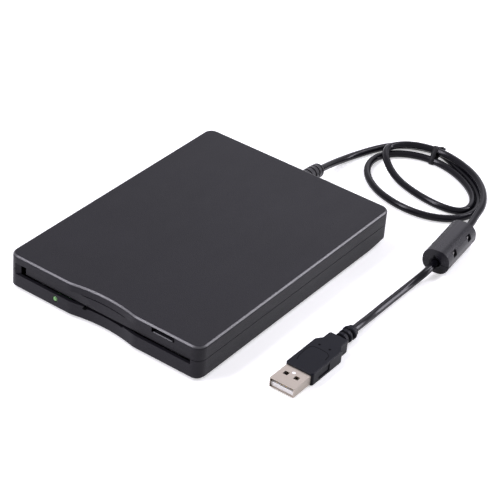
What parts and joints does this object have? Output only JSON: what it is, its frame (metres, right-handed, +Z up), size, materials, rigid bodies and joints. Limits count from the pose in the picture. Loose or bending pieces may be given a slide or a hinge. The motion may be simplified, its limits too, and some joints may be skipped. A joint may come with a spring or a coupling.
{
  "type": "external floppy disk drive",
  "caption": "Slim black desktop drive for 3.5 inch disks with a sprung slot door, eject button, working mechanism inside and a coiled cord with a clip-on ferrite and USB plug.",
  "frame": {"origin": "centre of the case's outline, on the surface that the feet stand on", "axes": "+X to the right of the slot, +Y from the slot to the cord along the case's length, +Z up through its thickness"},
  "size_m": [0.1392, 0.2243, 0.0174],
  "materials": {
    "case_plastic": "fine matt texture, black",
    "door_plastic": "matt black",
    "button_plastic": "satin black",
    "green_lens": "tinted clear plastic",
    "circuit_board": "green solder mask",
    "foot_rubber": "soft, matt",
    "screw_steel": "zinc plated",
    "sheet_steel": "plated sheet",
    "slider_plastic": "natural acetal",
    "bright_steel": "ground steel",
    "spring_steel": "drawn wire",
    "bearing_brass": "sintered",
    "core_steel": "laminated",
    "winding_copper": "enamelled copper wire",
    "rotor_steel": "plated cup",
    "motor_can": "plated can",
    "carriage_plastic": "glass-filled, dark",
    "head_ceramic": "polished",
    "switch_plastic": "dark moulding",
    "pin_plastic": "natural",
    "chip_plastic": "moulded",
    "ribbon_film": "amber film",
    "cord_jacket": "soft semi-gloss jacket, black",
    "tie_paper": "plastic-coated wire, black",
    "relief_rubber": "moulded, black",
    "ferrite_plastic": "satin, dark grey",
    "ferrite_core": "sintered, grey",
    "plug_plastic": "satin, black",
    "shell_steel": "nickel plated",
    "tongue_plastic": "white",
    "contact_gold": "gold plated"
  },
  "bodies": {
    "base": {"base_core": "ferrite_core", "board_chips": "chip_plastic", "board_sockets": "switch_plastic", "bottom_cover": "case_plastic", "case_screws": "screw_steel", "cord_case_end": "cord_jacket", "cord_coil": "cord_jacket", "cord_plug_end": "cord_jacket", "cord_tie": "tie_paper", "door_spring": "spring_steel", "drive_board": "circuit_board", "drive_frame": "sheet_steel", "drive_screws": "screw_steel", "drive_shield": "sheet_steel", "eject_springs": "spring_steel", "ferrite_base": "ferrite_plastic", "foot_back_left": "foot_rubber", "foot_back_right": "foot_rubber", "foot_front_left": "foot_rubber", "foot_front_right": "foot_rubber", "guide_rods": "bright_steel", "light_board": "circuit_board", "light_lens": "green_lens", "plug_contacts": "contact_gold", "plug_overmould": "plug_plastic", "plug_shell": "shell_steel", "plug_tongue": "tongue_plastic", "ribbon_cable": "ribbon_film", "screw_bracket": "sheet_steel", "spindle_bearing": "bearing_brass", "stator_core": "core_steel", "stator_windings": "winding_copper", "stepper_motor": "motor_can", "strain_relief": "relief_rubber", "switch_bodies": "switch_plastic", "top_cover": "case_plastic", "track_sensor": "switch_plastic", "usb_board": "circuit_board"},
    "door": {"slot_door": "door_plastic"},
    "eject": {"eject_button": "button_plastic", "eject_slider": "slider_plastic"},
    "carrier": {"disk_carrier": "sheet_steel", "carrier_pins": "bright_steel", "lever_spring": "spring_steel"},
    "lever": {"shutter_lever": "bright_steel"},
    "spindle": {"spindle_rotor": "rotor_steel", "spindle_hub": "bright_steel"},
    "carriage": {"head_carriage": "carriage_plastic", "arm_pin": "bright_steel", "lower_head": "head_ceramic", "arm_spring": "spring_steel", "screw_follower": "carriage_plastic"},
    "arm": {"upper_arm": "bright_steel", "upper_head": "head_ceramic"},
    "screw": {"lead_screw": "bright_steel"},
    "write_protect": {"write_protect_pin": "pin_plastic"},
    "density": {"density_pin": "pin_plastic"},
    "disk_in": {"disk_in_pin": "pin_plastic"},
    "clamp_lid": {"ferrite_lid": "ferrite_plastic", "lid_core": "ferrite_core"}
  },
  "joints": [
    {"name": "slot_door_swing", "type": "hinge", "parent": "base", "child": "door", "pos_m": [0, -0.0683, 0.01275], "axis": [1, 0, 0], "range_deg": [0, 80], "stiffness_Nm_per_rad": 0.002, "deforming": ["door_spring"]},
    {"name": "eject_slide", "type": "slide", "parent": "base", "child": "eject", "axis": [0, -1, 0], "range_m": [0, 0.005], "deforming": ["eject_springs"]},
    {"name": "carrier_lift", "type": "slide", "parent": "base", "child": "carrier", "axis": [0, 0, -1], "range_m": [0, 0.0024]},
    {"name": "shutter_lever_swing", "type": "hinge", "parent": "carrier", "child": "lever", "pos_m": [0.036, 0, 0.0131], "axis": [0, 0, -1], "range_deg": [0, 43], "stiffness_Nm_per_rad": 0.004, "deforming": ["lever_spring"]},
    {"name": "spindle_spin", "type": "hinge", "parent": "base", "child": "spindle", "pos_m": [0, -0.0165, 0.004], "axis": [0, 0, 1], "continuous": true},
    {"name": "head_slide", "type": "slide", "parent": "base", "child": "carriage", "axis": [0, -1, 0], "range_m": [0, 0.0148]},
    {"name": "lead_screw_spin", "type": "hinge", "parent": "base", "child": "screw", "pos_m": [-0.024, 0.039, 0.009], "axis": [0, 1, 0], "range_deg": [0, 1778]},
    {"name": "head_arm_tilt", "type": "hinge", "parent": "carriage", "child": "arm", "pos_m": [0, 0.051, 0.0105], "axis": [1, 0, 0], "range_deg": [0, 8.9], "deforming": ["arm_spring"]},
    {"name": "write_protect_press", "type": "slide", "parent": "base", "child": "write_protect", "axis": [0, 0, -1], "range_m": [0, 0.001], "stiffness_N_per_m": 100},
    {"name": "density_press", "type": "slide", "parent": "base", "child": "density", "axis": [0, 0, -1], "range_m": [0, 0.001], "stiffness_N_per_m": 100},
    {"name": "disk_in_press", "type": "slide", "parent": "base", "child": "disk_in", "axis": [0, 0, -1], "range_m": [0, 0.001], "stiffness_N_per_m": 100},
    {"name": "clamp_lid_swing", "type": "hinge", "parent": "base", "child": "clamp_lid", "pos_m": [0.07442, 0.06262, 0.00505], "axis": [0.1132, -0.9936, 0], "range_deg": [0, 100]}
  ],
  "couplings": [
    {"joint": "carrier_lift", "follows": "eject_slide", "ratio": 0.48},
    {"joint": "head_arm_tilt", "follows": "eject_slide", "rad_per_m": 31},
    {"joint": "lead_screw_spin", "follows": "head_slide", "rad_per_m": 2094.4}
  ]
}
